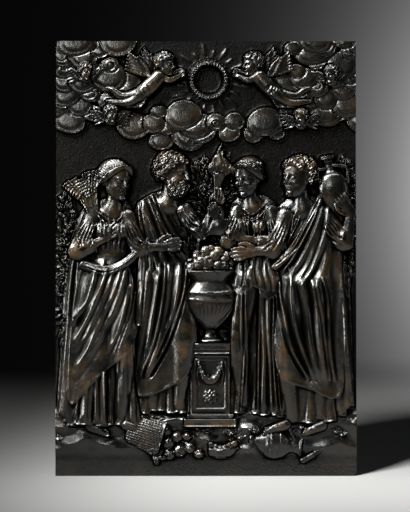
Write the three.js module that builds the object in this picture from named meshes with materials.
// A bronze relief plaque, cast in one piece: a flat-backed plate with clouds, two flying children,
// four draped figures round a fruit-filled urn, and harvest gifts on the ground.
// The relief is modelled like wax laid on a board: every form raises the height of the surface
// over the flat back. The finished height is then turned into one closed, faceted solid.
// X runs to the right, Z up, and the relief faces -Y; the origin is the middle of the back.

import * as THREE from 'three';

// Driving dimensions, in millimetres.
const HALF_WIDTH = 104; // half the plate's width at its foot
const HALF_HEIGHT = 150; // half the plate's height
const TOP_TAPER = 0.8; // each side leans in by this much towards the top
const CORNER_RADIUS = 3.6; // the lower right corner is worn round
const FIELD = 5; // thickness of the bare plate
const HIGH_RELIEF = 14; // above this height the relief is pressed flatter
const PRESSED = 0.75; // what is left of the height above it
const STEP = 0.8; // spacing of the modelling grid
const CELLS = 128; // facets are chosen on a grid of this many cells each way, a power of two
const SOFTENED = 0.9; // creases finer than this are melted before the facets are chosen
const FACET_ERROR = 0.85; // a facet may miss the modelled surface by this much
const BARE = -99; // height where a sheet carries no wax

const { abs, ceil, cos, exp, floor, hypot, max, min, sin, sqrt, PI } = Math;
const TURN = 2 * PI;
const clamp = (v, low = 0, high = 1) => min(max(v, low), high);
const bell = (v) => exp(-v * v);
const add = (a, b, k = 1) => a.map((v, i) => v + b[i] * k);
const mix = (a, b, t) => a.map((v, i) => v * (1 - t) + b[i] * t);
const span = (count, from = 0, to = 1) => {
  return Array.from({ length: count }, (_, i) => from + ((to - from) * i) / (count - 1));
};

// Repeatable random numbers from 0 to 1.
class Dice {
  constructor(seed) {
    this.state = (seed * 2654435761) % 2 ** 32;
  }

  roll() {
    this.state = (this.state * 1664525 + 1013904223) % 2 ** 32;
    return this.state / 2 ** 32;
  }
}

// A value between evenly spread ones, t from 0 to 1.
function spread(values, t) {
  if (values.length === 1) return values[0];
  const place = clamp(t) * (values.length - 1);
  const i = min(floor(place), values.length - 2);
  return values[i] + (values[i + 1] - values[i]) * (place - i);
}

// A row of columns sorted by their first value, read at that value.
function lookUp(rows, key, column) {
  let i = 1;
  while (i < rows.length - 1 && rows[i][0] < key) i += 1;
  const [a, b] = [rows[i - 1], rows[i]];
  const t = clamp((key - a[0]) / max(b[0] - a[0], 1e-9));
  return a[column] + (b[column] - a[column]) * t;
}

// One point of the smooth curve that passes through b and c.
function curvePoint(a, b, c, d, t) {
  return b.map((_, i) => {
    const bend = 2 * a[i] - 5 * b[i] + 4 * c[i] - d[i];
    const twist = 3 * b[i] - a[i] - 3 * c[i] + d[i];
    return 0.5 * (2 * b[i] + (c[i] - a[i]) * t + bend * t * t + twist * t ** 3);
  });
}

// Points spread along a smooth curve through the given ones.
function spline(points, count) {
  const n = points.length;
  if (n === 2) return span(count).map((t) => mix(points[0], points[1], t));
  const before = points[0].map((v, i) => 2 * v - points[1][i]);
  const after = points[n - 1].map((v, i) => 2 * v - points[n - 2][i]);
  const all = [before, ...points, after];
  return span(count, 0, n - 1).map((u) => {
    const i = min(floor(u), n - 2);
    return curvePoint(all[i], all[i + 1], all[i + 2], all[i + 3], u - i);
  });
}

// A sheet of modelling wax: a height over the back at each point of a square grid.
class Wax {
  constructor(left, right, bottom, top, height = BARE) {
    this.i0 = floor(left / STEP);
    this.j0 = floor(bottom / STEP);
    this.nx = ceil(right / STEP) + 1 - this.i0;
    this.nz = ceil(top / STEP) + 1 - this.j0;
    this.h = new Float64Array(this.nx * this.nz).fill(height);
  }

  // Calls work(x, z, index) at every grid point inside a box.
  each(left, right, bottom, top, work) {
    const i1 = min(ceil(right / STEP) - this.i0, this.nx);
    const j1 = min(ceil(top / STEP) - this.j0, this.nz);
    for (let j = max(ceil(bottom / STEP) - this.j0, 0); j < j1; j += 1) {
      for (let i = max(ceil(left / STEP) - this.i0, 0); i < i1; i += 1) {
        work((i + this.i0) * STEP, (j + this.j0) * STEP, j * this.nx + i);
      }
    }
  }

  all(work) {
    this.each(-Infinity, Infinity, -Infinity, Infinity, work);
  }

  solid(k) {
    return this.h[k] > BARE / 2;
  }

  // Raises one point to a height; soft fills the crease where two forms meet.
  raise(k, height, soft = 0) {
    const low = this.h[k];
    if (soft > 0) {
      const d = clamp(0.5 + (0.5 * (low - height)) / soft);
      this.h[k] = height * (1 - d) + low * d + soft * d * (1 - d);
    } else {
      this.h[k] = max(low, height);
    }
  }

  // The height with its creases melted over a reach, never past the wax's outline.
  melted(reach) {
    const mask = Float64Array.from(this.h, (v) => (v > BARE / 2 ? 1 : 0));
    const filled = blur(this, Float64Array.from(this.h, (v, k) => v * mask[k]), reach);
    const weight = blur(this, mask, reach);
    return this.h.map((v, k) => (mask[k] > 0 ? filled[k] / weight[k] : v));
  }

  // Presses another sheet onto this one: what is higher shows.
  press(part) {
    part.all((x, z, k) => {
      const i = Math.round(x / STEP) - this.i0;
      const j = Math.round(z / STEP) - this.j0;
      if (i >= 0 && i < this.nx && j >= 0 && j < this.nz) {
        this.raise(j * this.nx + i, part.h[k]);
      }
    });
  }

  // The height at any place, between the four grid points round it.
  read(x, z) {
    const u = clamp(x / STEP - this.i0, 0, this.nx - 1.001);
    const v = clamp(z / STEP - this.j0, 0, this.nz - 1.001);
    const [i, j] = [floor(u), floor(v)];
    const k = j * this.nx + i;
    const low = this.h[k] + (this.h[k + 1] - this.h[k]) * (u - i);
    const high = this.h[k + this.nx] + (this.h[k + this.nx + 1] - this.h[k + this.nx]) * (u - i);
    return low + (high - low) * (v - j);
  }
}

// A soft average of values on a wax sheet's grid, over a reach in millimetres.
function blur(wax, values, reach) {
  const sigma = reach / STEP;
  if (sigma < 0.2) return values;
  const r = ceil(3 * sigma);
  const weights = span(2 * r + 1, -r, r).map((i) => exp(-0.5 * (i / sigma) ** 2));
  const sum = weights.reduce((a, b) => a + b);
  const { nx, nz } = wax;
  const pass = (from, stride, length, index) => {
    const out = new Float64Array(from.length);
    for (let k = 0; k < from.length; k += 1) {
      const at = index(k);
      let total = 0;
      for (let i = -r; i <= r; i += 1) {
        total += weights[i + r] * from[k + (clamp(at + i, 0, length - 1) - at) * stride];
      }
      out[k] = total / sum;
    }
    return out;
  };
  const across = pass(values, 1, nx, (k) => k % nx);
  return pass(across, nx, nz, (k) => floor(k / nx));
}

const UPRIGHT = [[1, 0, 0], [0, 1, 0], [0, 0, 1]];
const turned3 = (R, p) => R.map((row) => row[0] * p[0] + row[1] * p[1] + row[2] * p[2]);

// An egg of wax at (x, height, z) with three radii, turned by R; keep may leave a part of it out.
function ball(wax, centre, radii, soft = 0, R = UPRIGHT, keep = null) {
  const A = (i, j) => radii.reduce((sum, r, m) => sum + (R[i][m] * R[j][m]) / (r * r), 0);
  const [yy, xy, yz, xx, xz, zz] = [A(1, 1), A(0, 1), A(1, 2), A(0, 0), A(0, 2), A(2, 2)];
  const ex = hypot(...radii.map((r, m) => r * R[0][m]));
  const ez = hypot(...radii.map((r, m) => r * R[2][m]));
  const [cx, cy, cz] = centre;
  wax.each(cx - ex, cx + ex, cz - ez, cz + ez, (x, z, k) => {
    const [X, Z] = [x - cx, z - cz];
    const b = xy * X + yz * Z;
    const D = b * b - yy * (xx * X * X + 2 * xz * X * Z + zz * Z * Z - 1);
    if (D <= 0) return;
    const y = (sqrt(D) - b) / yy;
    if (keep && !keep(radii.map((r, m) => (X * R[0][m] + y * R[1][m] + Z * R[2][m]) / r))) return;
    wax.raise(k, y + cy, soft);
  });
}

// Visits the points near a path with their distance, place along it from 0 to 1, and side.
function along(wax, path, reach, work) {
  const xs = path.map((p) => p[0]);
  const zs = path.map((p) => p[1]);
  const run = [0];
  path.slice(1).forEach((p, i) => {
    run.push(run[i] + max(hypot(p[0] - xs[i], p[1] - zs[i]), 1e-6));
  });
  const box = [min(...xs) - reach, max(...xs) + reach, min(...zs) - reach, max(...zs) + reach];
  wax.each(...box, (x, z, k) => {
    let near = Infinity;
    let place = 0;
    let side = 1;
    for (let i = 0; i < path.length - 1; i += 1) {
      const [sx, sz] = [xs[i + 1] - xs[i], zs[i + 1] - zs[i]];
      const [dx, dz] = [x - xs[i], z - zs[i]];
      const length = run[i + 1] - run[i];
      const t = clamp((dx * sx + dz * sz) / (length * length));
      const d = (dx - t * sx) ** 2 + (dz - t * sz) ** 2;
      if (d < near) {
        near = d;
        place = (run[i] + t * length) / run.at(-1);
        side = sx * dz - sz * dx >= 0 ? 1 : -1;
      }
    }
    work(k, sqrt(near), place, side);
  });
}

// A round tapering roll of wax; cut leaves its far end square.
function tube(wax, path, radii, heights, options = {}) {
  const { soft = 0, flat = 1, count = 7 * path.length, cut = false } = options;
  along(wax, spline(path, count), max(...radii), (k, d, place) => {
    const r = spread(radii, place);
    if (d >= r || (cut && place >= 1)) return;
    wax.raise(k, spread(heights, place) + flat * sqrt(r * r - d * d), soft);
  });
}

// A thrown pot lying along a line from foot to mouth; profile holds [place along it, radius].
function pot(wax, foot, mouth, profile, height, flat = 1, soft = 0) {
  const length = hypot(mouth[0] - foot[0], mouth[1] - foot[1]);
  const [cx, cz] = [(mouth[0] - foot[0]) / length, (mouth[1] - foot[1]) / length];
  const rows = spline(profile, 60).sort((a, b) => a[0] - b[0]);
  const reach = length + max(...rows.map((r) => r[1]));
  wax.each(foot[0] - reach, foot[0] + reach, foot[1] - reach, foot[1] + reach, (x, z, k) => {
    const [X, Z] = [x - foot[0], z - foot[1]];
    const up = (X * cx + Z * cz) / length;
    const across = Z * cx - X * cz;
    if (up <= rows[0][0] || up >= rows.at(-1)[0]) return;
    const r = lookUp(rows, up, 1);
    if (abs(across) < r) wax.raise(k, height + flat * sqrt(r * r - across * across), soft);
  });
}

// A fold of cloth: a rounded ridge, with a narrower valley along one side of it.
function fold(wax, path, widths, lift, options = {}) {
  const { within = null, groove = 0.5, ends = [0.4, 0.4], side = 1, count = 12 } = options;
  along(wax, spline(path, count), 2.5 * max(...widths), (k, d, place, s) => {
    const q = (d * s * side) / spread(widths, place);
    const fade = min(place / ends[0], 1) * min((1 - place) / ends[1], 1);
    const shape = exp(-1.5 * q * q) - groove * bell((q - 1.35) / 0.62);
    wax.h[k] += lift * fade ** 0.8 * shape * (within ? within[k] : 1);
  });
}

// A narrow raised or cut line.
function line(wax, path, width, lift, ends = 0.15) {
  along(wax, spline(path, 12), 2.2 * width, (k, d, place) => {
    const fade = min(place / ends, 1) * min((1 - place) / ends, 1);
    wax.h[k] += lift * fade * bell(d / width);
  });
}

// 1 inside a smooth closed outline, 0 outside it, for each point of a sheet.
function inside(wax, outline) {
  const n = outline.length;
  const rim = outline.flatMap((p, i) => {
    const [a, c, d] = [outline[(i + n - 1) % n], outline[(i + 1) % n], outline[(i + 2) % n]];
    return [0, 1, 2, 3, 4, 5, 6, 7].map((t) => curvePoint(a, p, c, d, t / 8));
  });
  const mask = new Float64Array(wax.h.length);
  wax.all((x, z, k) => {
    let odd = 0;
    rim.forEach(([x1, z1], i) => {
      const [x2, z2] = rim[(i + 1) % rim.length];
      if (z1 > z !== z2 > z && x < ((x2 - x1) * (z - z1)) / (z2 - z1) + x1) odd = 1 - odd;
    });
    mask[k] = odd;
  });
  return mask;
}

// A pointed leaf laid on what is there.
function leaf(wax, x, z, angle, length, width, lift) {
  const [c, s] = [cos(angle), sin(angle)];
  wax.each(x - length, x + length, z - length, z + length, (px, pz, k) => {
    const a = ((px - x) * c + (pz - z) * s) / (length / 2);
    const b = ((pz - z) * c - (px - x) * s) / width;
    const edge = 1 - a * a;
    if (edge <= 0 || abs(b) >= edge || !wax.solid(k)) return;
    wax.h[k] += lift * (0.25 + 0.75 * sqrt((1 - (b / edge) ** 2) * edge));
  });
}

// ---- Heads: x to the head's left, y forward, z up, in units of its height ----

const HAIR_AT = [0, -0.09, 0.12];
const HAIR_RADII = [0.375, 0.455, 0.395];

// A turn for a head: yaw to the right, pitch down, roll to the side, in degrees.
function facing(yaw, pitch, roll) {
  const [a, b, c] = [yaw, pitch, roll].map((d) => (d * PI) / 180);
  const entry = (row, N, j) => row[0] * N[0][j] + row[1] * N[1][j] + row[2] * N[2][j];
  const product = (M, N) => M.map((row) => [0, 1, 2].map((j) => entry(row, N, j)));
  const spin = [[cos(a), sin(a), 0], [-sin(a), cos(a), 0], [0, 0, 1]];
  const nod = [[1, 0, 0], [0, cos(b), sin(b)], [0, -sin(b), cos(b)]];
  const tip = [[cos(c), 0, sin(c)], [0, 1, 0], [-sin(c), 0, cos(c)]];
  return product(tip, product(spin, nod));
}

class Head {
  constructor(centre, size, yaw, pitch, roll) {
    this.R = facing(yaw, pitch, roll);
    this.centre = centre;
    this.size = size;
    const [x, , z] = centre;
    this.wax = new Wax(x - size, x + size, z - size, z + size);
  }

  at(p) {
    return add(this.centre, turned3(this.R, p), this.size);
  }

  // How far a direction on the head turns to the front: 1 full front, below 0 hidden.
  shown(p) {
    return turned3(this.R, p)[1] / hypot(...p);
  }

  lump(p, radii, soft = 0.02, keep = null) {
    ball(this.wax, this.at(p), radii.map((r) => r * this.size), soft * this.size, this.R, keep);
  }

  onHair(p, out = 0) {
    const q = p.map((v) => v / hypot(...p));
    return this.at(HAIR_AT.map((v, i) => v + q[i] * (HAIR_RADII[i] + out)));
  }
}

function face(head) {
  head.lump([0, -0.06, 0.12], [0.325, 0.41, 0.36], 0);
  head.lump([0, 0.08, -0.1], [0.27, 0.3, 0.33], 0.07);
  head.lump([0, 0.12, -0.27], [0.215, 0.225, 0.2], 0.09);
  head.lump([0, 0.265, -0.405], [0.095, 0.085, 0.075], 0.07);
  for (const s of [-1, 1]) {
    head.lump([s * 0.115, 0.135, -0.13], [0.155, 0.155, 0.17], 0.1);
    if (head.shown([s * 0.35, 0.93, 0]) > 0.1) eyeSocket(head, s);
    head.lump([s * 0.12, 0.275, 0.012], [0.06, 0.06, 0.04], 0.006);
    head.lump([s * 0.285, -0.02, -0.03], [0.035, 0.075, 0.11], 0.014);
  }
  for (const t of span(6)) {
    const radii = [0.028 + 0.014 * t, 0.038 + 0.01 * t, 0.04];
    head.lump([0, 0.33 + 0.07 * t, 0.075 - 0.18 * t], radii, 0.022);
  }
  head.lump([0, 0.322, -0.212], [0.078, 0.042, 0.02], 0.014);
  head.lump([0, 0.312, -0.255], [0.064, 0.042, 0.024], 0.014);
}

function eyeSocket(head, s) {
  const [x, , z] = head.at([s * 0.125, 0.33, 0.015]);
  const wide = max(0.085 * head.size * abs(head.R[0][0]), 0.03 * head.size);
  const high = 0.05 * head.size;
  head.wax.each(x - 3 * wide, x + 3 * wide, z - 3 * high, z + 3 * high, (px, pz, k) => {
    if (!head.wax.solid(k)) return;
    head.wax.h[k] -= 0.045 * head.size * bell((px - x) / wide) * bell((pz - z) / high);
  });
}

// True on the scalp, outside the opening for the face; on the unit ball.
function onScalp([x, y, z]) {
  const opening = z < 0.48 - 0.5 * x * x && y > 0.4 - 0.75 * max(-z - 0.15, 0);
  return !opening && z > -0.7;
}

// Round curls set over an egg of hair.
function curls(head, at, radii, size, count, keep) {
  for (let i = 0; i < count; i += 1) {
    const z = 1 - (2 * (i + 0.5)) / count;
    const r = sqrt(1 - z * z);
    const q = [r * cos(2.4 * i), r * sin(2.4 * i), z];
    if (keep(q)) head.lump(at.map((v, m) => v + q[m] * radii[m] * 0.97), [size, size, size], 0.008);
  }
}

// Long hair drawn back over the ears to a knot.
function combed(head, knot) {
  for (const s of [-1, 1]) {
    const route = [[0, 0.8, 0.62], [s * 0.5, 0.74, 0.44], [s * 0.84, 0.42, 0.05], [s * 0.9, -0.05, -0.35],
      [s * 0.55, -0.7, -0.35]];
    spline(route, 18).forEach((q, j) => {
      const r = (0.05 + 0.03 * sin((PI * j) / 17)) * head.size;
      ball(head.wax, head.onHair(q), [r, r * 0.9, r], 0.03 * head.size);
    });
  }
  const reach = hypot(...knot);
  const bun = HAIR_AT.map((v, i) => v + (knot[i] / reach) * (HAIR_RADII[i] + 0.05));
  head.lump(bun, [0.17, 0.15, 0.16], 0.012);
}

function beard(head) {
  const [at, radii] = [[0, 0.1, -0.31], [0.255, 0.305, 0.275]];
  const cover = ([x, y, z]) => z < 0.3 + 0.4 * abs(x) && y > -0.25;
  head.lump(at, radii, 0.015, cover);
  curls(head, at, radii, 0.075, 60, (q) => cover(q) && (q[2] < -0.05 || abs(q[0]) > 0.3));
}

// Adds a head to a sheet, its depth pressed towards its middle as relief heads are.
function modelHead(wax, centre, size, yaw, { pitch = 6, roll = 0, hair = 'knot', bearded = false } = {}) {
  const head = new Head(centre, size, yaw, pitch, roll);
  face(head);
  head.lump(HAIR_AT, HAIR_RADII, 0, onScalp);
  if (hair === 'curls') {
    curls(head, HAIR_AT, HAIR_RADII, 0.085, 80, onScalp);
  } else {
    combed(head, hair === 'knot' ? [0, -0.95, 0.25] : [0, -0.95, -0.2]);
  }
  if (bearded) beard(head);
  head.wax.h.forEach((v, k) => {
    if (head.wax.solid(k)) head.wax.h[k] = centre[1] + (v - centre[1]) * 0.7;
  });
  wax.press(head.wax);
}

// ---- Figures: places in sevenths-and-a-half of the stature, x the way the figure faces ----

class Figure {
  constructor(x, foot, stature, faces, base, depth) {
    this.u = stature / 7.5;
    Object.assign(this, { x, foot, faces, base, depth });
    this.wax = new Wax(x - 2.8 * this.u, x + 2.8 * this.u, foot - 0.7 * this.u, foot + 8.6 * this.u);
  }

  at(points) {
    return points.map(([a, b]) => [this.x + this.faces * this.u * a, this.foot + this.u * b]);
  }

  out(d) {
    return this.base + d * this.u * this.depth;
  }

  // The body between heights; each station is [height, back edge, front edge, depth].
  loft(stations) {
    const rows = spline(stations, 120).sort((a, b) => a[0] - b[0]);
    const low = this.base - 1;
    this.wax.all((px, pz, k) => {
      const z = (pz - this.foot) / this.u;
      if (z <= rows[0][0] || z >= rows.at(-1)[0]) return;
      const x = ((px - this.x) * this.faces) / this.u;
      const back = lookUp(rows, z, 1) + 0.035 * sin(5.1 * z + this.x);
      const front = lookUp(rows, z, 2) + 0.025 * sin(4.3 * z + 2);
      const t = (2 * (x - (back + front) / 2)) / max(front - back, 1e-3);
      if (abs(t) >= 1) return;
      this.wax.raise(k, low + (this.out(lookUp(rows, z, 3)) - low) * (1 - abs(t) ** 2.4) ** 0.45);
    });
  }

  roll(points, radii, depths, soft = 0.05, options = {}) {
    const sizes = radii.map((r) => r * this.u);
    const heights = depths.map((d) => this.out(d));
    tube(this.wax, this.at(points), sizes, heights, { soft: soft * this.u, ...options });
  }

  pot(foot, mouth, profile, d) {
    const rows = profile.map(([a, r]) => [a, r * this.u]);
    pot(this.wax, ...this.at([foot, mouth]), rows, this.out(d), 0.8);
  }

  lump(centre, d, radii, soft = 0.04) {
    const [[x, z]] = this.at([centre]);
    ball(this.wax, [x, this.out(d), z], radii.map((r) => r * this.u), soft * this.u);
  }

  melt(reach) {
    this.wax.h = this.wax.melted(reach);
  }

  // A layer of cloth over what is there: it hides the folds under it and ends in a rolled hem.
  cloth(outline, thick = 0.055, melt = 0.11, rim = 0.03) {
    const { wax, u } = this;
    const shape = inside(wax, this.at(outline));
    const within = blur(wax, shape, 0.02 * u);
    const wide = blur(wax, shape, 0.05 * u);
    const under = wax.melted(melt * u);
    wax.all((x, z, k) => {
      if (!wax.solid(k)) return;
      const nearEdge = clamp(1 - 1.7 * (wide[k] - 0.4));
      wax.h[k] += (under[k] + (thick + rim * nearEdge) * u - wax.h[k]) * within[k];
    });
    return within;
  }

  // Folds spread between two guide lines, uneven in place, width and length like real cloth.
  folds(first, last, count, width, lift, options = {}) {
    const { seed = 1, short = 0, ends = [0.3, 0.3], side = 1, ...rest } = options;
    const dice = new Dice(seed);
    const [A, B] = [spline(first, 10), spline(last, 10)];
    const gaps = Array.from({ length: count + 1 }, () => 0.45 + 1.1 * dice.roll());
    const all = gaps.reduce((a, b) => a + b);
    let place = 0;
    for (const gap of gaps.slice(0, count)) {
      place += gap / all;
      const [waves, start] = [5 + 3 * dice.roll(), 6 * dice.roll()];
      const path = A.map((p, i) => {
        const [x, z] = mix(p, B[i], place);
        return [x + 0.03 * sin((waves * i) / 9 + start), z];
      });
      const from = floor(short * dice.roll() * 9);
      const to = 10 - floor(short * dice.roll() * 9);
      if (to - from <= 2) continue;
      const w = width * this.u * clamp(gap, 0.6, 1.3) * (0.8 + 0.4 * dice.roll());
      const high = lift * this.u * (0.65 + 0.6 * dice.roll());
      const settings = { ends, side: side * this.faces, ...rest };
      fold(this.wax, this.at(path.slice(from, to)), [0.8 * w, 1.15 * w, w], high, settings);
    }
  }

  // Hanging tubes of cloth between two guide lines, wider towards an uneven hem.
  flutes(first, last, count, narrow, wide, depths, seed = 1, drop = 0.12) {
    const dice = new Dice(seed);
    const [A, B] = [spline(first, 8), spline(last, 8)];
    const gaps = Array.from({ length: count + 1 }, () => 0.5 + dice.roll());
    const all = gaps.reduce((a, b) => a + b);
    let place = 0;
    for (let k = 0; k < count; k += 1) {
      place += gaps[k] / all;
      const path = A.map((p, i) => mix(p, B[i], place));
      path[7][1] += drop * (dice.roll() - 0.5);
      const size = 0.55 + (0.45 * (gaps[k] + gaps[k + 1])) / 2 + 0.2 * dice.roll();
      const d = depths[0] + (depths[1] - depths[0]) * dice.roll();
      const radii = [narrow * size, ((narrow + wide) / 2) * size, wide * size];
      this.roll(path, radii, [d, d, 0.8 * d], 0.03, { flat: 0.9, cut: true });
    }
  }

  hand(wrist, angle, d, size = 1, curl = 0, thumb = 1) {
    const [c, s, k] = [cos((angle * PI) / 180), sin((angle * PI) / 180), 0.4 * size];
    const q = (f, a) => [wrist[0] + k * (f * c - a * s), wrist[1] + k * (f * s + a * c)];
    const palm = [0.11, 0.155, 0.15].map((r) => r * size);
    this.roll([q(-0.3, 0), q(0.5, 0), q(0.85, 0)], palm, [d, d, d], 0.02, { flat: 0.6 });
    [0.78, 0.95, 1, 0.88].forEach((reach, i) => {
      const a = -0.33 + 0.22 * i;
      const joints = [q(0.7, 0.9 * a), q(0.7 + 0.45 * reach, 1.1 * a + 0.15 * curl),
        q(0.7 + 0.9 * reach, 1.05 * a + 0.5 * curl)];
      const radii = [0.06, 0.055, 0.045].map((r) => r * size);
      this.roll(joints, radii, [d + 0.06, d + 0.09, d + 0.02], 0.006, { flat: 0.9 });
    });
    const radii = [0.08, 0.062, 0.05].map((r) => r * size);
    const joints = [q(0.1, 0.3 * thumb), q(0.5, 0.6 * thumb), q(0.95, 0.62 * thumb)];
    this.roll(joints, radii, [d, d + 0.05, d + 0.05], 0.012, { flat: 0.9 });
  }

  footAt(heel, toe, d) {
    const mid = [(heel[0] + toe[0]) / 2, (heel[1] + toe[1]) / 2 + 0.05];
    this.roll([[heel[0], heel[1] + 0.08], mid, toe], [0.14, 0.125, 0.1], [d, d + 0.05, d], 0.02);
    for (let i = 0; i < 4; i += 1) {
      const tip = [toe[0] + 0.07 - 0.02 * i, toe[1] - 0.07 + 0.055 * i];
      this.lump(tip, d + 0.06, [0.075, 0.05, 0.038], 0.004);
    }
  }

  arm(shoulder, elbow, wrist, [a, b, c], radii = [0.21, 0.165, 0.105]) {
    this.roll([shoulder, elbow], radii.slice(0, 2), [a, b], 0.12, { flat: 0.8 });
    this.roll([elbow, wrist], radii.slice(1), [b, c], 0.04, { flat: 0.9 });
  }

  // A loose sleeve to a part of the forearm, its folds hanging from the shoulder round the elbow.
  sleeve(s, e, wrist, [a, b, c], part, seed, count = 5) {
    const [ru, re, rc] = [0.25, 0.26, 0.22];
    const upper = add(e, s, -1);
    const lower = add(wrist, e, -1).map((v) => v * part);
    const cuff = add(e, lower);
    const dc = b + (c - b) * part;
    const shape = [ru * 0.85, (ru + re) / 2, re];
    this.roll([s, add(s, upper, 0.5), e], shape, [a, (a + b) / 2, b], 0.14, { flat: 0.75 });
    if (part > 0.05) this.roll([e, cuff], [re, rc], [b, dc], 0.06, { flat: 0.8, cut: true });
    const unit = (v) => v.map((w) => w / hypot(...v));
    const [u1, u2] = [unit(upper), unit(lower)];
    const [n1, n2] = [[-u1[1], u1[0]], [-u2[1], u2[0]]];
    const bend = n1[0] * lower[0] + n1[1] * lower[1] > 0 ? 1 : -1;
    const within = Float64Array.from(this.wax.h, (v) => (v > BARE / 2 ? 1 : 0));
    const dice = new Dice(seed);
    const widths = [0.035 * this.u, 0.055 * this.u];
    for (let i = 0; i < count; i += 1) {
      const q = (1.8 * (i + 0.5)) / count - 0.9;
      const start = add(add(s, n1, q * ru * 0.75), upper, 0.05 + 0.2 * dice.roll());
      const middle = add(add(s, upper, 0.6), n1, q * ru);
      const end = add(add(e, lower, 0.15 + 0.3 * dice.roll()), add(n1, n2), q * re * 0.5);
      const settings = { within, ends: [0.4, 0.3], side: bend };
      fold(this.wax, this.at([start, middle, end]), widths, 0.06 * this.u, settings);
    }
    const crook = add(e, add(n1, n2), bend * re * 0.45);
    for (let i = 0; i < 4; i += 1) {
      const t = (i + 0.3) / 4;
      const away = u1.map((v, m) => -v * (1 - t) + u2[m] * t - (n1[m] + n2[m]) * bend * 0.35);
      const settings = { within, groove: 0.6, ends: [0.15, 0.6] };
      fold(this.wax, this.at([crook, add(crook, away, re * 1.3)]), widths, 0.055 * this.u, settings);
    }
    const hem = [add(cuff, n2, rc), add(cuff, u2, 0.03), add(cuff, n2, -rc)];
    this.roll(hem, [0.045, 0.05, 0.045], [dc - 0.02, dc + rc * 1.05, dc - 0.02], 0.03);
  }

  head(at, yaw, kind = {}) {
    const { pitch = 6, roll = 0, d = 0.33, size = 1.13, ...rest } = kind;
    const [[x, z]] = this.at([at]);
    const options = { pitch, roll, ...rest };
    modelHead(this.wax, [x, this.out(d), z], this.u * size, yaw * this.faces, options);
  }

  neck(x = 0.08, d = 0.2) {
    const path = [[x - 0.06, 5.98], [x, 6.22], [x + 0.05, 6.6]];
    this.roll(path, [0.36, 0.2, 0.165], [d - 0.22, d - 0.02, d + 0.06], 0.12);
  }

  belt(z, d = 0.43) {
    for (const [rise, r] of [[0.05, 0.055], [-0.06, 0.05]]) {
      const path = [[-0.48, z + rise], [0, z + rise - 0.07], [0.44, z + rise]];
      this.roll(path, [r, r, r], [d - 0.07, d + 0.03, d - 0.07], 0.01);
    }
    this.lump([0.02, z - 0.05], d + 0.06, [0.12, 0.07, 0.1], 0.01);
    for (const k of [-0.1, 0.12]) {
      const path = [[0.02, z - 0.1], [0.5 * k, z - 0.35], [k, z - 0.62]];
      this.roll(path, [0.045, 0.06, 0.065], [d + 0.04, d + 0.04, d + 0.04], 0.01);
    }
  }
}

// A long gown over the body: breasts, hips and two legs show through it.
function gown(f, width = 1) {
  f.loft([[6.38, -0.1, 0.28, 0.15], [6.22, -0.46, 0.48, 0.26], [5.98, -0.7, 0.62, 0.36],
    [5.5, -0.66, 0.6, 0.47], [5, -0.52, 0.47, 0.44], [4.78, -0.48, 0.44, 0.42],
    [4.3, -0.64, 0.57, 0.47], [3.8, -0.78, 0.68, 0.5], [3, -0.84 * width, 0.74 * width, 0.46],
    [2, -0.88 * width, 0.8 * width, 0.4], [1, -0.98 * width, 0.88 * width, 0.33],
    [0.2, -1.1 * width, 0.98 * width, 0.26]]);
  f.lump([0.3, 5.45], 0.27, [0.23, 0.3, 0.22], 0.08);
  f.lump([-0.16, 5.43], 0.27, [0.24, 0.3, 0.22], 0.08);
  f.roll([[0.14, 3.9], [0.42, 2.2], [0.3, 0.5]], [0.36, 0.27, 0.18], [0.24, 0.38, 0.2], 0.1);
  f.roll([[-0.38, 3.9], [-0.4, 2.1], [-0.38, 0.5]], [0.34, 0.25, 0.17], [0.2, 0.22, 0.15], 0.1);
  f.melt(0.03 * f.u);
}

// A broader body under a long tunic.
function tunic(f) {
  f.loft([[6.38, -0.15, 0.26, 0.15], [6.2, -0.58, 0.54, 0.26], [5.95, -0.86, 0.74, 0.36],
    [5.4, -0.84, 0.7, 0.46], [4.8, -0.7, 0.6, 0.43], [4, -0.8, 0.68, 0.48], [3, -0.86, 0.78, 0.46],
    [2, -0.88, 0.86, 0.41], [1, -0.96, 0.92, 0.35], [0.25, -1.02, 0.96, 0.28]]);
  f.roll([[0.16, 3.9], [0.5, 2.25], [0.34, 0.4]], [0.38, 0.28, 0.17], [0.24, 0.4, 0.2], 0.1);
  f.roll([[-0.4, 3.9], [-0.42, 2.1], [-0.42, 0.4]], [0.34, 0.25, 0.16], [0.2, 0.22, 0.15], 0.1);
  f.melt(0.03 * f.u);
}

// The hanging folds of a long skirt, with an uneven fluted hem.
function skirt(f, seed) {
  f.flutes([[-0.52, 3], [-0.72, 1.9], [-0.98, 0.16]], [[-0.05, 3], [-0.02, 2], [0.04, 0.16]], 5, 0.06, 0.16,
    [0.2, 0.3], seed);
  f.flutes([[0.32, 1.5], [0.26, 0.9], [0.16, 0.16]], [[0.62, 1.6], [0.74, 1], [0.9, 0.16]], 4, 0.04, 0.14,
    [0.16, 0.26], seed + 1);
  f.folds([[-0.5, 4.7], [-0.78, 3.6], [-0.88, 2], [-1.05, 0.25]],
    [[-0.1, 4.7], [-0.12, 3.6], [-0.1, 2], [0, 0.2]], 6, 0.075, 0.085, { seed: seed + 2, ends: [0.12, 0.05] });
  f.folds([[0.15, 4.7], [0.08, 3.4], [0.05, 2], [0.1, 0.2]],
    [[0.46, 4.7], [0.68, 3.6], [0.8, 2], [0.94, 0.25]], 5, 0.055, 0.05,
    { seed: seed + 3, ends: [0.2, 0.05], short: 0.4 });
}

function bodice(f, seed) {
  f.folds([[-0.6, 6], [-0.44, 5.5], [-0.36, 4.9]], [[0.55, 6.05], [0.42, 5.5], [0.34, 4.9]], 8, 0.035, 0.036,
    { seed });
  f.folds([[-0.46, 6.22], [0.08, 5.92], [0.46, 6.2]], [[-0.55, 6.05], [0.08, 5.45], [0.55, 6.05]], 4, 0.04,
    0.042, { seed: seed + 1 });
}

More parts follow.
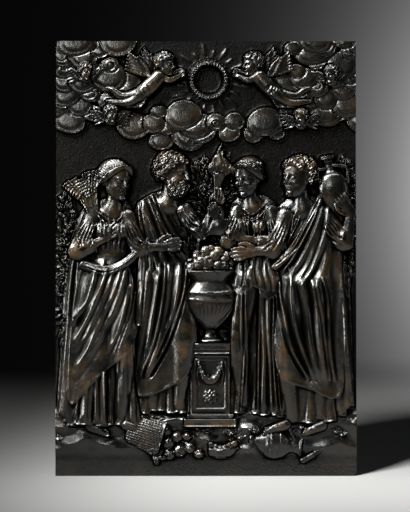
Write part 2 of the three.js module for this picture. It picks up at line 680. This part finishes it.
// A sheaf of wheat, tied once in the middle, its ears fanned at the top.
function sheaf(f, foot, head, count, d, width, ear) {
  const length = hypot(...add(head, foot, -1));
  const up = add(head, foot, -1).map((v) => v / length);
  const side = [-up[1], up[0]];
  for (const q of span(count, -0.47, 0.47)) {
    const tip = add(add(foot, up, length), side, width * q);
    const waist = add(add(foot, up, length * 0.5), side, 0.16 * q);
    f.roll([add(foot, side, 0.3 * q), waist, tip], [0.03, 0.03, 0.03], [d, d + 0.02, d], 0.004);
    const way = add(up, side, 1.6 * q);
    const ears = add(tip, way, ear / hypot(...way));
    f.roll([tip, ears], [0.06, 0.05], [d, d], 0.004);
  }
  const tie = add(foot, up, length * 0.5);
  f.roll([add(tie, side, 0.13), add(tie, side, -0.13)], [0.055, 0.055], [d + 0.03, d + 0.03], 0.004);
}

function womanWithSheaf() {
  const f = new Figure(-66, -119, 190, 1, FIELD + 1, 0.62);
  f.loft([[6.15, -0.72, 0, 0.14], [5.6, -0.98, 0.1, 0.2], [4.8, -1.16, 0.2, 0.24], [3.6, -1.3, 0.3, 0.22],
    [2.2, -1.36, 0.4, 0.2], [1, -1.44, 0.4, 0.2], [0.4, -1.48, 0.4, 0.15]]);
  f.flutes([[-0.95, 4.9], [-1.22, 2.6], [-1.42, 0.35]], [[-0.7, 4.6], [-0.8, 2.6], [-0.9, 0.25]], 4, 0.08,
    0.15, [0.1, 0.2], 11, 0.3);
  f.folds([[-0.75, 6.1], [-1.1, 5], [-1.3, 3.4], [-1.36, 1.2]], [[-0.6, 5.8], [-0.8, 4.6], [-0.9, 3],
    [-0.95, 1]], 4, 0.07, 0.07, { seed: 12 });
  gown(f);
  skirt(f, 3);
  const wrap = f.cloth([[-0.7, 4.62], [-0.1, 4.46], [0.44, 4.66], [0.8, 4.72], [0.86, 3.8], [0.82, 2.9],
    [0.5, 2.15], [0, 1.75], [-0.5, 1.3], [-1.1, 0.75], [-1.12, 2.4], [-0.95, 3.8]]);
  f.folds([[0.66, 4.8], [0.4, 3.6], [-0.15, 2.4], [-0.95, 1.05]], [[-0.55, 4.5], [-0.7, 4.1], [-0.86, 3.7],
    [-1.05, 3.3]], 5, 0.1, 0.11, { within: wrap, seed: 21, ends: [0.1, 0.15] });
  f.folds([[0.7, 4.7], [0.66, 3.8], [0.6, 3], [0.36, 2.3]], [[0.66, 4.8], [0.4, 3.6], [0, 2.6],
    [-0.5, 1.6]], 4, 0.06, 0.05, { within: wrap, seed: 22, ends: [0.1, 0.2], short: 0.3 });
  f.roll([[-0.74, 4.52], [-0.15, 4.36], [0.4, 4.58], [0.84, 4.98]], [0.13, 0.15, 0.13, 0.1],
    [0.34, 0.44, 0.42, 0.4], 0.03);
  bodice(f, 8);
  f.neck();
  f.arm([0.46, 5.84], [0.8, 4.98], [1.3, 5.02], [0.2, 0.38, 0.48]);
  f.sleeve([0.42, 5.8], [0.8, 4.98], [1.3, 5.02], [0.16, 0.32, 0.42], 0.45, 5);
  f.hand([1.3, 5.02], 8, 0.46);
  f.flutes([[0.76, 5], [0.74, 4.2], [0.66, 2.9]], [[1.12, 5.08], [1.16, 4.2], [1.12, 2.7]], 4, 0.09, 0.13,
    [0.3, 0.38], 31, 0.4);
  sheaf(f, [0.05, 4.4], [-0.66, 6.55], 9, 0.36, 0.6, 0.5);
  f.arm([-0.52, 5.82], [-0.9, 4.9], [-0.2, 5.22], [0.16, 0.36, 0.5]);
  f.sleeve([-0.5, 5.78], [-0.9, 4.9], [-0.2, 5.22], [0.12, 0.3, 0.44], 0.6, 6);
  f.hand([-0.22, 5.22], 35, 0.52, 0.9, 0.3);
  f.head([0.14, 6.82], 50, { pitch: 10 });
  f.footAt([0.42, 0.1], [0.9, 0.02], 0.24);
  f.footAt([-0.55, 0.06], [-0.15, -0.04], 0.22);
  return f.wax;
}

function manWithTorch() {
  const f = new Figure(-27, -111, 186, 1, FIELD - 0.5, 0.55);
  tunic(f);
  f.flutes([[-0.7, 1.6], [-0.8, 0.9], [-0.9, 0.2]], [[0.6, 1.6], [0.7, 0.9], [0.8, 0.2]], 8, 0.05, 0.14,
    [0.16, 0.26], 45);
  const toga = f.cloth([[-0.9, 6.05], [-0.4, 6.38], [-0.1, 5.8], [0.3, 5.1], [0.72, 4.7], [0.84, 3.4],
    [0.86, 2], [0.4, 1.1], [-0.9, 0.7], [-1, 2.4], [-0.98, 4.8]]);
  f.folds([[-0.42, 6.3], [-0.08, 5.6], [0.34, 4.9], [0.7, 4.5]], [[-0.86, 6], [-0.8, 5], [-0.66, 4.2],
    [-0.3, 3.5]], 5, 0.09, 0.1, { within: toga, seed: 41, ends: [0.1, 0.25] });
  f.folds([[0.66, 4.4], [0.56, 3.4], [0.15, 2.2], [-0.5, 1.2]], [[-0.78, 4.4], [-0.9, 3.4], [-0.92, 2.2],
    [-0.96, 1.1]], 6, 0.09, 0.1, { within: toga, seed: 42, ends: [0.1, 0.1] });
  f.neck(0.06);
  f.arm([0.5, 5.82], [0.98, 5.2], [1.34, 5.9], [0.16, 0.34, 0.42], [0.22, 0.18, 0.12]);
  f.sleeve([0.46, 5.78], [0.92, 5.24], [1.34, 5.9], [0.12, 0.28, 0.36], 0.15, 7);
  f.pot([1.28, 5.55], [1.46, 6.85], [[0, 0.03], [0.3, 0.06], [0.62, 0.09], [0.66, 0.14], [0.72, 0.1],
    [0.92, 0.17], [1, 0.2]], 0.34);
  for (let i = 0; i < 7; i += 1) {
    const s = (i - 3) / 3;
    const high = 0.78 - 0.3 * abs(s) + 0.1 * (i % 2);
    f.roll([[1.46 + 0.14 * s, 6.82], [1.49 + 0.26 * s, 6.82 + 0.35 * high],
      [1.45 + 0.12 * s, 6.82 + 0.7 * high], [1.54 + 0.05 * s, 6.82 + high]], [0.07, 0.11, 0.06, 0.01],
    [0.34, 0.38 - 0.03 * abs(s), 0.36, 0.3], 0.01);
  }
  f.hand([1.32, 5.86], 60, 0.4, 0.9, 0.9);
  f.head([0.18, 6.85], 76, { pitch: 4, hair: 'curls', bearded: true });
  return f.wax;
}

function womanWithJug() {
  const f = new Figure(33, -111, 184, -1, FIELD - 0.2, 0.57);
  gown(f, 0.95);
  skirt(f, 53);
  const over = f.cloth([[-0.52, 4.8], [0.47, 4.8], [0.7, 4], [0.42, 3.5], [0, 3.75], [-0.4, 3.4],
    [-0.82, 3.8]]);
  f.folds([[-0.46, 4.75], [-0.64, 4.2], [-0.74, 3.6]], [[0.44, 4.75], [0.58, 4.2], [0.66, 3.7]], 7, 0.055,
    0.05, { within: over, seed: 61, ends: [0.1, 0.05] });
  bodice(f, 63);
  f.belt(4.82);
  f.neck();
  f.roll([[-0.75, 5.6], [-0.95, 4.4], [-1.05, 3], [-0.98, 1.9]], [0.12, 0.18, 0.24, 0.16],
    [0.1, 0.16, 0.16, 0.1]);
  f.arm([-0.52, 5.84], [-0.66, 4.92], [0.32, 5.1], [0.18, 0.38, 0.52]);
  f.sleeve([-0.48, 5.82], [-0.68, 4.92], [0.32, 5.1], [0.14, 0.32, 0.46], 0.55, 8);
  f.arm([0.48, 5.84], [0.74, 5.02], [0.98, 5.62], [0.2, 0.36, 0.46]);
  f.sleeve([0.44, 5.82], [0.72, 5.04], [0.98, 5.62], [0.16, 0.32, 0.4], 0.2, 9);
  f.pot([0.62, 5.62], [1.46, 5.18], [[0, 0.14], [0.04, 0.15], [0.12, 0.1], [0.35, 0.27], [0.55, 0.25],
    [0.78, 0.1], [0.92, 0.13], [1, 0.19]], 0.48);
  f.roll([[1.3, 5.38], [1.22, 5.72], [0.95, 5.76], [0.86, 5.66]], [0.045, 0.045], [0.56, 0.56], 0);
  f.roll([[1.46, 5.14], [1.56, 4.98], [1.58, 4.6]], [0.05, 0.045, 0.035], [0.44, 0.42, 0.36], 0);
  f.hand([0.3, 5.1], 22, 0.52);
  f.hand([0.98, 5.58], 62, 0.66, 0.85, 0.2);
  f.head([0.16, 6.8], 60, { pitch: 16 });
  return f.wax;
}

function manWithAmphora() {
  const f = new Figure(68, -119, 192, -1, FIELD + 1, 0.62);
  f.loft([[6.1, -0.8, 0, 0.14], [5.2, -1.08, 0.2, 0.2], [3.8, -1.24, 0.3, 0.22], [2.2, -1.3, 0.4, 0.22],
    [1.1, -1.34, 0.4, 0.2], [0.6, -1.34, 0.4, 0.15]]);
  f.flutes([[-0.9, 4.8], [-1.16, 2.8], [-1.28, 0.6]], [[-0.66, 4.6], [-0.76, 2.6], [-0.84, 0.4]], 4, 0.08,
    0.14, [0.12, 0.2], 71, 0.3);
  f.folds([[-0.85, 5.9], [-1.12, 4.6], [-1.24, 3], [-1.28, 1]], [[-0.7, 5.6], [-0.8, 4.6], [-0.88, 3],
    [-0.9, 1]], 4, 0.07, 0.07, { seed: 72 });
  tunic(f);
  f.flutes([[-0.66, 2.4], [-0.78, 1.5], [-0.92, 0.3]], [[-0.1, 2.4], [0, 1.5], [0.06, 0.25]], 5, 0.06, 0.16,
    [0.2, 0.28], 73);
  f.flutes([[0.55, 1.6], [0.6, 1], [0.5, 0.4]], [[0.8, 1.8], [0.9, 1.1], [0.95, 0.45]], 3, 0.05, 0.13,
    [0.16, 0.24], 74);
  const wrap = f.cloth([[-0.92, 6.05], [-0.4, 6.38], [-0.12, 5.7], [0.28, 4.95], [0.76, 4.45], [0.98, 3.2],
    [0.9, 2.2], [0.6, 1.45], [-0.1, 1.15], [-0.95, 0.95], [-1.05, 2.4], [-1, 4.8]]);
  f.folds([[-0.38, 6.25], [-0.05, 5.5], [0.3, 4.8], [0.74, 4.3]], [[-0.86, 6], [-0.84, 5], [-0.68, 4.1],
    [-0.2, 3.4]], 5, 0.095, 0.11, { within: wrap, seed: 81, ends: [0.1, 0.2] });
  f.folds([[0.76, 4.2], [0.74, 3.4], [0.5, 2.3], [-0.1, 1.4]], [[-0.7, 4.2], [-0.88, 3.4], [-0.94, 2.4],
    [-0.95, 1.3]], 6, 0.09, 0.11, { within: wrap, seed: 82, ends: [0.1, 0.12] });
  f.roll([[-0.44, 6.28], [-0.12, 5.6], [0.3, 4.9], [0.8, 4.42]], [0.1, 0.13, 0.13, 0.1],
    [0.32, 0.42, 0.44, 0.38], 0.03);
  f.neck(0.06);
  f.pot([-0.98, 5.62], [-0.62, 7.42], [[0, 0.06], [0.06, 0.1], [0.3, 0.34], [0.52, 0.42], [0.68, 0.32],
    [0.78, 0.14], [0.93, 0.12], [0.95, 0.19], [1, 0.2]], 0.2);
  for (const [side, top] of [[-1, 7.16], [1, 7.06]]) {
    f.roll([[-0.67 + 0.12 * side, top], [-0.72 + 0.42 * side, top - 0.06], [-0.8 + 0.38 * side, 6.72]],
      [0.05, 0.05], [0.32, 0.32], 0.01);
  }
  f.head([0.18, 6.82], 56, { pitch: 4, hair: 'curls' });
  f.arm([-0.58, 5.82], [-1.14, 5.06], [-1.26, 5.95], [0.2, 0.42, 0.5], [0.23, 0.19, 0.12]);
  f.sleeve([-0.54, 5.78], [-1.06, 5.1], [-1.26, 5.95], [0.14, 0.34, 0.42], 0.15, 10);
  f.hand([-1.24, 5.88], 60, 0.56, 1, -0.3, -1);
  f.arm([0.52, 5.8], [0.88, 4.88], [1.36, 4.84], [0.2, 0.4, 0.48], [0.23, 0.18, 0.12]);
  f.sleeve([0.48, 5.76], [0.88, 4.88], [1.36, 4.84], [0.14, 0.34, 0.42], 0.3, 11);
  f.hand([1.34, 4.84], -8, 0.5);
  f.footAt([0.5, 0.1], [1, 0], 0.26);
  f.footAt([-0.48, 0.08], [-0.06, -0.02], 0.22);
  return f.wax;
}

// ---- The sky ----

// Banks of rolled cloud along the top: round puffs that overlap, with raised rims.
function clouds() {
  const dice = new Dice(12);
  const w = new Wax(-HALF_WIDTH, HALF_WIDTH, 68, HALF_HEIGHT, FIELD);
  const puffs = [];
  for (let row = 0; row < 7; row += 1) {
    for (let i = 0; i < 15; i += 1) {
      const place = i + 0.5 * (row % 2) + 0.5 * (dice.roll() - 0.5);
      const x = -HALF_WIDTH - 6 + ((2 * HALF_WIDTH + 12) * place) / 14;
      const edge = 92 - 9 * cos(x / 33) + 4 * sin(x / 11 + 1);
      const size = [6.5, 8.5, 11.5][floor(3 * dice.roll())] * (0.9 + 0.3 * dice.roll());
      const z = edge + row * 8.5 + 4 * (dice.roll() - 0.5);
      puffs.push({ x, z, size, tilt: 0.35 * dice.roll() });
    }
  }
  puffs.sort((a, b) => a.z + 4 * a.tilt - b.z - 4 * b.tilt);
  for (const { x, z, size, tilt } of puffs) {
    const openSky = abs(x) < 56 && z > 102;
    if (!openSky) puff(w, x, z, size, tilt, dice);
  }
  w.h = w.melted(0.35);
  return w;
}

function puff(w, x, z, size, tilt, dice) {
  const level = FIELD + 0.5 + 1.8 * clamp((z - 80) / 50) + 1.2 * dice.roll();
  w.each(x - size, x + size, z - size, z + size, (px, pz, k) => {
    const X = (px - x) / size;
    const Z = (pz - z) / (size * (0.78 + 0.15 * tilt));
    const q = hypot(X, Z);
    if (q >= 1) return;
    const lean = 0.035 * size * (tilt * X - Z);
    const rim = 0.55 * bell((q - 0.9) / 0.055) - 0.35 * bell((q - 0.76) / 0.07);
    w.h[k] = level + (0.22 * size + 0.6) * sqrt(1 - q * q) + lean + rim;
  });
  if (dice.roll() >= 0.3) return;
  const way = dice.roll() < 0.5 ? 1 : -1;
  const start = 0.4 + 6 * dice.roll();
  const curl = span(30).map((t) => {
    const [a, r] = [start + way * 6.5 * t, size * (0.72 - 0.62 * t)];
    return [x + r * cos(a), z + 0.85 * r * sin(a)];
  });
  fold(w, curl, [0.9, 0.5], 0.8, { groove: 0.9, ends: [0.1, 0.2], side: way, count: 40 });
}

function rays(w, x, z) {
  for (let i = 0; i < 20; i += 1) {
    const [a, reach] = [(TURN * (i + 0.5)) / 20, 24 + 5 * (i % 2)];
    const inner = [x + 16 * cos(a), z + 16 * sin(a)];
    const outer = [x + reach * cos(a), z + 0.9 * reach * sin(a)];
    line(w, [inner, outer], 0.9, 0.7, 0.3);
  }
}

function wreath(w, x, z, radius, height) {
  const ring = span(25, 0, TURN).map((a) => [x + radius * cos(a), z + radius * sin(a)]);
  tube(w, ring, [1.6, 1.6], [height, height], { count: 60 });
  for (let i = 0; i < 34; i += 1) {
    const a = (TURN * i) / 34;
    for (const s of [-1, 1]) {
      const r = radius + 1.2 * s;
      leaf(w, x + r * cos(a), z + r * sin(a), a + PI / 2 + 0.55 * s, 5.2, 1.2, 1);
    }
  }
}

// A feathered wing: two rows of long quills under a rounded leading edge.
function wing(f, root, tip, sweep, d, count = 6) {
  const reach = add(tip, root, -1);
  [[1, 0.13, 1], [0.55, 0.12, 0.85]].forEach(([length, thick, near], row) => {
    for (const m of span(count)) {
      const base = add(root, reach, 0.62 * m);
      const end = add(add(root, reach, (0.45 + 0.55 * m) * near), sweep, (1 - m * 0.75) * length);
      const middle = add(mix(base, end, 0.5), sweep, 0.05);
      const depths = [d - 0.02 + 0.05 * row, d + 0.02 + 0.06 * row, d - 0.02 + 0.05 * row];
      f.roll([base, middle, end], [thick, thick * 1.2, thick * 0.7], depths, 0, { flat: 0.6 });
    }
  });
  const edge = [root, add(add(root, reach, 0.35), sweep, -0.12), add(add(root, reach, 0.75), sweep, -0.04)];
  f.roll(edge, [0.16, 0.15, 0.09], [d + 0.08, d + 0.1, d + 0.04], 0.02, { flat: 0.8 });
}

// A small winged child in flight, its arms stretched forward, cloth blowing from its hips.
function flyingChild(x, z, stature, faces, seed) {
  const f = new Figure(x, z, stature, faces, FIELD + 1.5, 0.8);
  wing(f, [0.3, 1.55], [-0.9, 3.3], [-1.2, -0.3], 0.35);
  wing(f, [0.7, 1.6], [0.2, 3.6], [-1.2, -0.1], 0.15, 5);
  f.roll([[-0.3, 0.35], [-1.6, 0.1], [-2.4, 0.6]], [0.42, 0.32, 0.2], [0.35, 0.35, 0.3]);
  f.roll([[-0.3, 0.2], [-1.3, -0.35], [-2.5, -0.3]], [0.42, 0.3, 0.18], [0.45, 0.48, 0.4]);
  f.roll([[-2.4, 0.6], [-2.8, 0.72]], [0.18, 0.11], [0.3, 0.28], 0.02);
  f.roll([[-2.5, -0.3], [-2.95, -0.22]], [0.17, 0.11], [0.38, 0.36], 0.02);
  f.roll([[-0.35, 0.25], [0.5, 1], [0.95, 1.5]], [0.52, 0.55, 0.5], [0.4, 0.5, 0.42]);
  f.roll([[1.05, 1.65], [1.7, 1.25], [2.5, 1.55]], [0.27, 0.22, 0.15], [0.5, 0.6, 0.55], 0.06);
  f.roll([[1.2, 1.6], [1.9, 1.75], [2.65, 2.0]], [0.24, 0.2, 0.14], [0.3, 0.35, 0.35]);
  f.hand([2.5, 1.55], 15, 0.55, 1.1);
  f.flutes([[-0.6, 0], [-1.5, -0.7], [-2.6, -1]], [[0.4, 0.3], [-0.4, -0.9], [-1.6, -1.7]], 5, 0.1, 0.16,
    [0.35, 0.5], seed, 0.3);
  f.head([1.45, 2.35], 58, { pitch: -4, roll: 8 * faces, d: 0.42, size: 1.75, hair: 'curls' });
  f.melt(0.2);
  return f.wax;
}

// ---- The ground ----

function hills() {
  const dice = new Dice(6);
  const w = new Wax(-HALF_WIDTH, HALF_WIDTH, -HALF_HEIGHT, -60, FIELD);
  const ease = (t) => t * t * (3 - 2 * t);
  const lift = new Float64Array(w.h.length);
  w.all((x, z, k) => {
    const top = -101 + 2.5 * sin(x / 19) + 1.5 * sin(x / 7.3 + 1);
    lift[k] = ease(clamp((top - z) / 7)) * ease(clamp((z + 139) / 9));
    w.h[k] = FIELD + 3.4 * lift[k];
  });
  for (let i = 0; i < 150; i += 1) {
    const [x, z] = [-HALF_WIDTH + 2 * HALF_WIDTH * dice.roll(), -134 + 28 * dice.roll()];
    const size = 1.5 + 3 * dice.roll();
    const high = dice.roll() < 0.7 ? 0.9 : -0.7;
    w.each(x - 4 * size, x + 4 * size, z - 3 * size, z + 3 * size, (px, pz, k) => {
      w.h[k] += high * bell((px - x) / (1.7 * size)) * bell((pz - z) / size) * lift[k];
    });
  }
  return w;
}

// Trunks and boughs, with laurel leaves laid over them.
function trees(w) {
  for (const [x0, z0, x1, z1] of [[96, -40, 100, 62], [4, -20, 6, 66], [-99, -60, -97, 10]]) {
    const path = [[x0, z0], [(x0 + x1) / 2 + 3, (z0 + z1) / 2], [x1, z1]];
    tube(w, path, [2.6, 1.8, 0.8], [FIELD, FIELD, FIELD - 0.3], { flat: 0.8 });
  }
  const dice = new Dice(5);
  for (const [cx, cz, rx, rz, count] of [[97, 25, 9, 45, 60], [5, 32, 26, 38, 80], [-96, -10, 8, 60, 50]]) {
    for (let i = 0; i < count; i += 1) {
      const [a, q] = [TURN * dice.roll(), sqrt(dice.roll())];
      const turn = a + 1.4 * (dice.roll() - 0.5);
      leaf(w, cx + rx * q * cos(a), cz + rz * q * sin(a), turn, 8 + 2 * dice.roll(), 2.2, 1.4);
    }
  }
}

// A square pedestal with a garland on its face, and a gadrooned urn heaped with fruit.
function altar() {
  const [x, foot] = [3, -116];
  const w = new Wax(x - 36, x + 36, foot - 8, foot + 140);
  const [base, shaft] = [[[0, 6, 18, 8.5], [6, 9, 16, 7.5]], [9, 50, 13.5, 6]];
  const courses = [...base, shaft, [50, 53, 15.5, 7.5], [53, 58, 18, 8.5]];
  for (const [low, high, half, out] of courses) {
    w.each(x - half, x + half, foot + low, foot + high, (px, pz, k) => w.raise(k, FIELD + out));
  }
  w.h = w.melted(0.35);
  const swag = spline([[x - 8, foot + 43], [x - 4, foot + 34], [x, foot + 31.5], [x + 4, foot + 34],
    [x + 8, foot + 43]], 17);
  swag.forEach(([px, pz], i) => {
    const r = 1.3 + 1.1 * sin((PI * i) / 16);
    ball(w, [px, FIELD + 6.3, pz], [r, r * 0.9, r]);
  });
  for (let i = 0; i < 8; i += 1) {
    const a = (TURN * i) / 8;
    leaf(w, x + 3 * cos(a), foot + 21 + 3 * sin(a), a, 5, 1.5, 0.9);
  }
  ball(w, [x, FIELD + 6.2, foot + 21], [1.6, 1.6, 1.6]);
  pot(w, [x, foot + 58], [x, foot + 108], [[0, 8.5], [0.04, 8.5], [0.08, 5.2], [0.16, 3.8], [0.24, 7],
    [0.36, 13.5], [0.52, 18.5], [0.68, 19], [0.78, 15.5], [0.84, 13.5], [0.9, 15], [0.96, 18], [1, 18.5]],
  FIELD + 1, 0.7);
  for (let i = -7; i < 8; i += 1) {
    const k = sin(((i / 8) * PI) / 2);
    const width = 1.4 * cos(((i / 8) * PI) / 2) + 0.3;
    fold(w, [[x + 4 * k, foot + 67], [x + 13 * k, foot + 77], [x + 17.5 * k, foot + 86]], [width], 1.1,
      { groove: 0.7, ends: [0.2, 0.2] });
  }
  for (const s of [-1, 1]) {
    tube(w, [[x + 16 * s, foot + 98], [x + 23 * s, foot + 101], [x + 24.5 * s, foot + 92],
      [x + 18.5 * s, foot + 84]], [1.6, 1.8, 1.6, 1.4], [FIELD + 5, FIELD + 5]);
  }
  const dice = new Dice(3);
  for (let i = 0; i < 16; i += 1) {
    const a = PI * dice.roll();
    ball(w, [x + 19 * cos(a), FIELD + 3, foot + 109 + 8 * sin(a)], [3.4, 2, 1.8]);
  }
  for (let i = 0; i < 46; i += 1) {
    const [a, q] = [TURN * dice.roll(), sqrt(dice.roll())];
    const px = x + 16 * q * cos(a);
    const pz = foot + 111 + 10 * q * sin(a) + 3 * (1 - abs(px - x) / 16);
    const r = 2.4 + 2 * dice.roll();
    ball(w, [px, FIELD + 4 + 3.5 * (1 - q), pz], [r, r, r]);
  }
  w.h = w.melted(0.2);
  return w;
}

// A tipped basket with fruit rolling out of it.
function basket() {
  const [x, foot] = [-38, -131];
  const w = new Wax(x - 28, x + 44, foot - 14, foot + 34);
  pot(w, [x - 16, foot + 14], [x + 8, foot + 7], [[0, 7], [0.1, 9], [0.5, 11.5], [0.9, 13], [1, 13.5]],
    FIELD + 2.2, 0.6);
  const rim = span(17, 0, TURN).map((a) => [x + 8 + 3.6 * cos(a), foot + 7 + 13.6 * sin(a)]);
  tube(w, rim, [1.3, 1.3], [FIELD + 4.5, FIELD + 4.5], { count: 40 });
  for (const [px, pz, r] of [[10, 12, 4.4], [12, 4, 4.8], [18, 8, 4.2], [20, -1, 4.6], [27, 1, 4.2],
    [13, -4, 3.8], [33, -3, 3.6], [25, 8, 3.4]]) {
    ball(w, [x + px, FIELD + 3.4, foot + pz], [r, r, r * 0.95]);
  }
  w.h = w.melted(0.2);
  return w;
}

// A pitcher lying on its side, a footed bowl of fruit and a sickle.
function pitcher() {
  const [x, foot] = [52, -131];
  const w = new Wax(x - 56, x + 44, foot - 14, foot + 30);
  pot(w, [x - 22, foot + 6], [x + 14, foot + 1], [[0, 5], [0.05, 5.4], [0.12, 4.6], [0.4, 10.5], [0.62, 9.5],
    [0.8, 4.8], [0.92, 5.2], [1, 7.5]], FIELD + 2, 0.7);
  tube(w, [[x + 9, foot + 6], [x + 4, foot + 15], [x - 8, foot + 15], [x - 12, foot + 10]], [1.2, 1.2],
    [FIELD + 5, FIELD + 5]);
  tube(w, [[x + 22, foot - 4], [x + 30, foot + 2], [x + 31, foot + 11], [x + 24, foot + 17]],
    [1.7, 1.9, 1.5, 0.5], [FIELD + 2.6, FIELD + 2.6], { flat: 0.6 });
  tube(w, [[x + 22, foot - 4], [x + 15, foot - 8]], [1.9, 2.1], [FIELD + 3, FIELD + 3]);
  pot(w, [x - 42, foot - 7], [x - 42, foot + 0.5], [[0, 5], [0.15, 5], [0.3, 8], [0.7, 11], [1, 12]],
    FIELD + 2, 0.55);
  for (let i = 0; i < 7; i += 1) {
    ball(w, [x - 42 + (i - 3) * 3.2, FIELD + 5.5, foot + 2 + 1.6 * cos(i)], [2.3, 2.3, 2.3]);
  }
  w.h = w.melted(0.2);
  return w;
}

// ---- The whole surface, and the solid made from it ----

function modelRelief() {
  const board = new Wax(-HALF_WIDTH, HALF_WIDTH, -HALF_HEIGHT, HALF_HEIGHT, FIELD);
  trees(board);
  rays(board, 2, 123);
  board.press(clouds());
  wreath(board, 2, 123, 12, FIELD + 1);
  for (const part of [hills, manWithTorch, womanWithJug, altar, womanWithSheaf, manWithAmphora]) {
    board.press(part());
  }
  board.press(flyingChild(-38, 112, 62, 1, 2));
  board.press(flyingChild(42, 112, 62, -1, 7));
  board.press(basket());
  board.press(pitcher());
  board.h = board.h.map((v) => (v > HIGH_RELIEF ? HIGH_RELIEF + (v - HIGH_RELIEF) * PRESSED : v));
  board.h = board.melted(SOFTENED);
  return board;
}

// Splits the square of cells into right triangles, halving each while it misses the surface by
// more than the allowed error; neighbours always halve together, so no crack opens.
function chooseFacets(height, cells, allowed) {
  const row = cells + 1;
  const count = 2 * cells * cells - 2;
  const parents = count - cells * cells;
  const errors = new Float64Array(row * row);
  for (let n = count - 1; n >= 0; n -= 1) {
    const [ax, az, bx, bz, cx, cz] = cornersOf(n, cells);
    const [mx, mz] = [(ax + bx) / 2, (az + bz) / 2];
    const middle = mz * row + mx;
    const flat = (height[az * row + ax] + height[bz * row + bx]) / 2;
    errors[middle] = max(errors[middle], abs(flat - height[middle]));
    if (n < parents) {
      const left = ((az + cz) / 2) * row + (ax + cx) / 2;
      const right = ((bz + cz) / 2) * row + (bx + cx) / 2;
      errors[middle] = max(errors[middle], errors[left], errors[right]);
    }
  }
  const facets = [];
  const divide = (ax, az, bx, bz, cx, cz) => {
    const [mx, mz] = [(ax + bx) / 2, (az + bz) / 2];
    if (abs(ax - cx) + abs(az - cz) > 1 && errors[mz * row + mx] > allowed) {
      divide(cx, cz, ax, az, mx, mz);
      divide(bx, bz, cx, cz, mx, mz);
    } else {
      facets.push([az * row + ax, bz * row + bx, cz * row + cx]);
    }
  };
  divide(0, 0, cells, cells, cells, 0);
  divide(cells, cells, 0, 0, 0, cells);
  return facets;
}

// The corners of the nth right triangle of the halving, its right angle last.
function cornersOf(n, cells) {
  let id = n + 2;
  let [ax, az, bx, bz, cx, cz] = id % 2 ? [0, 0, cells, cells, cells, 0] : [cells, cells, 0, 0, 0, cells];
  for (id = floor(id / 2); id > 1; id = floor(id / 2)) {
    const [mx, mz] = [(ax + bx) / 2, (az + bz) / 2];
    if (id % 2) [bx, bz, ax, az] = [ax, az, cx, cz];
    else [ax, az, bx, bz] = [bx, bz, cx, cz];
    [cx, cz] = [mx, mz];
  }
  return [ax, az, bx, bz, cx, cz];
}

// The plate's true outline: sides that lean in a little, and a worn round lower right corner.
function onPlate(x, z) {
  const lean = (TOP_TAPER * (z + HALF_HEIGHT)) / (2 * HALF_HEIGHT);
  const a = (x - HALF_WIDTH + CORNER_RADIUS) / CORNER_RADIUS;
  const b = (-z - HALF_HEIGHT + CORNER_RADIUS) / CORNER_RADIUS;
  if (a > 0 && b > 0) {
    const right = HALF_WIDTH - CORNER_RADIUS + CORNER_RADIUS * a * sqrt(1 - (b * b) / 2);
    const low = CORNER_RADIUS - HALF_HEIGHT - CORNER_RADIUS * b * sqrt(1 - (a * a) / 2);
    return [right, low];
  }
  return [x * (1 - lean / HALF_WIDTH), z];
}

// One closed solid: the relief in front, a flat back, and the edges between them.
function castPlaque(board) {
  const row = CELLS + 1;
  const places = [];
  for (let j = 0; j <= CELLS; j += 1) {
    for (let i = 0; i <= CELLS; i += 1) {
      places.push([HALF_WIDTH * ((2 * i) / CELLS - 1), HALF_HEIGHT * ((2 * j) / CELLS - 1)]);
    }
  }
  const height = Float64Array.from(places, ([x, z]) => board.read(x, z));
  const facets = chooseFacets(height, CELLS, FACET_ERROR);
  const vertices = [];
  const numbers = new Map();
  const vertex = (key, x, y, z) => {
    if (!numbers.has(key)) {
      numbers.set(key, vertices.length / 3);
      vertices.push(x, y, z);
    }
    return numbers.get(key);
  };
  const front = (k) => {
    const [x, z] = onPlate(...places[k]);
    return vertex(`front ${k}`, x, -height[k], z);
  };
  const back = (k) => {
    const [x, z] = onPlate(...places[k]);
    return vertex(`back ${k}`, x, 0, z);
  };
  const faces = [];
  const edges = new Map();
  for (const [a, b, c] of facets) {
    const [ax, az, bx, bz, cx, cz] = [a, b, c].flatMap((k) => [k % row, floor(k / row)]);
    const seenLeft = (bx - ax) * (cz - az) - (bz - az) * (cx - ax) > 0;
    const loop = seenLeft ? [a, b, c] : [a, c, b];
    faces.push(loop.map(front));
    loop.forEach((k, i) => edges.set(`${k} ${loop[(i + 1) % 3]}`, [k, loop[(i + 1) % 3]]));
  }
  const centre = vertex('centre', 0, 0, 0);
  for (const [a, b] of edges.values()) {
    if (edges.has(`${b} ${a}`)) continue;
    faces.push([front(b), front(a), back(a)], [front(b), back(a), back(b)]);
    faces.push([back(b), back(a), centre]);
  }
  const geometry = new THREE.BufferGeometry();
  geometry.setAttribute('position', new THREE.Float32BufferAttribute(vertices, 3));
  geometry.setIndex(faces.flat());
  geometry.computeVertexNormals();
  return geometry;
}

const bronze = new THREE.MeshStandardMaterial({ color: 0x2b241e, roughness: 0.38, metalness: 0.85 });
const plaque = new THREE.Mesh(castPlaque(modelRelief()), bronze);
plaque.name = 'plaque';

const group = new THREE.Group();
group.add(plaque);

export default group;
